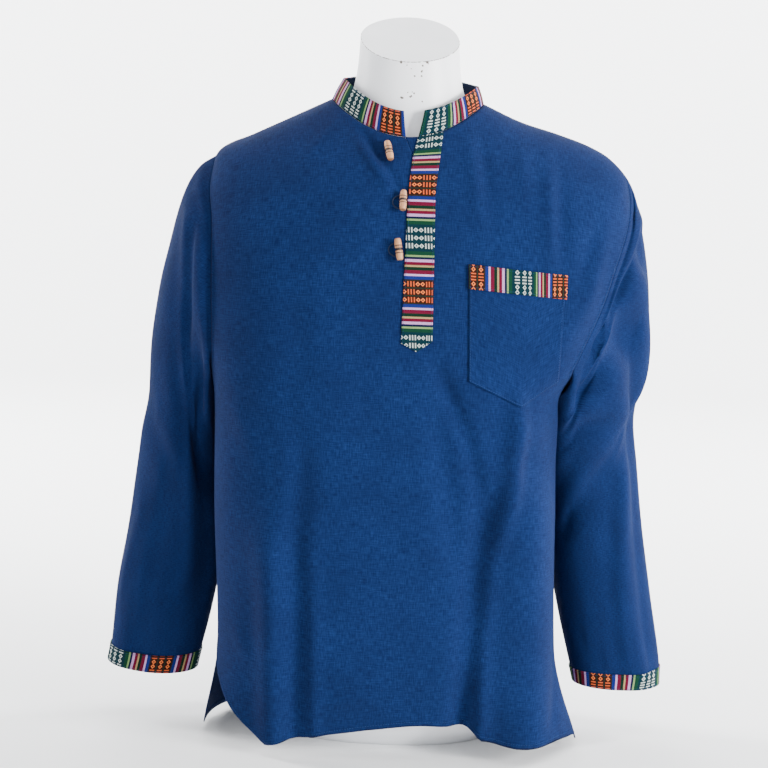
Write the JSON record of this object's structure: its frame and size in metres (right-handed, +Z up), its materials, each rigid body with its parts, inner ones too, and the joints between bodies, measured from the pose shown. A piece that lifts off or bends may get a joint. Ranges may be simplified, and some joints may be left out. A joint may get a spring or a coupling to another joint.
{
  "type": "cotton pullover shirt on a limbless dress form",
  "caption": "Loose indigo cotton pullover shirt with a band collar, half placket, chest pocket and cuffs in woven trim, on a white limbless dress form.",
  "frame": {"origin": "on the dress form's flat base, under the middle of the neck", "axes": "+X to the wearer's left, -Y to the front, +Z up"},
  "size_m": [0.682, 0.2919, 0.863],
  "materials": {
    "indigo_cotton": "slubby plain-weave cotton, soft and matte",
    "facing_cotton": "navy plain-weave cotton, matte",
    "woven_trim": "striped trim with small woven figures, matte",
    "toggle_wood": "turned pale wood, waxed",
    "loop_cord": "dark round cord",
    "form_paint": "white painted shell, eggshell"
  },
  "bodies": {
    "root": {"front": "indigo_cotton", "back": "indigo_cotton", "sleeve_left": "indigo_cotton", "sleeve_right": "indigo_cotton", "chest_pocket": "indigo_cotton", "under_placket": "indigo_cotton", "collar": "woven_trim", "cuff_left": "woven_trim", "cuff_right": "woven_trim", "placket": "woven_trim", "pocket_band": "woven_trim", "collar_facing": "facing_cotton", "toggle_1": "toggle_wood", "toggle_2": "toggle_wood", "toggle_3": "toggle_wood", "loop_2": "loop_cord", "loop_3": "loop_cord", "dress_form": "form_paint"}
  },
  "joints": []
}
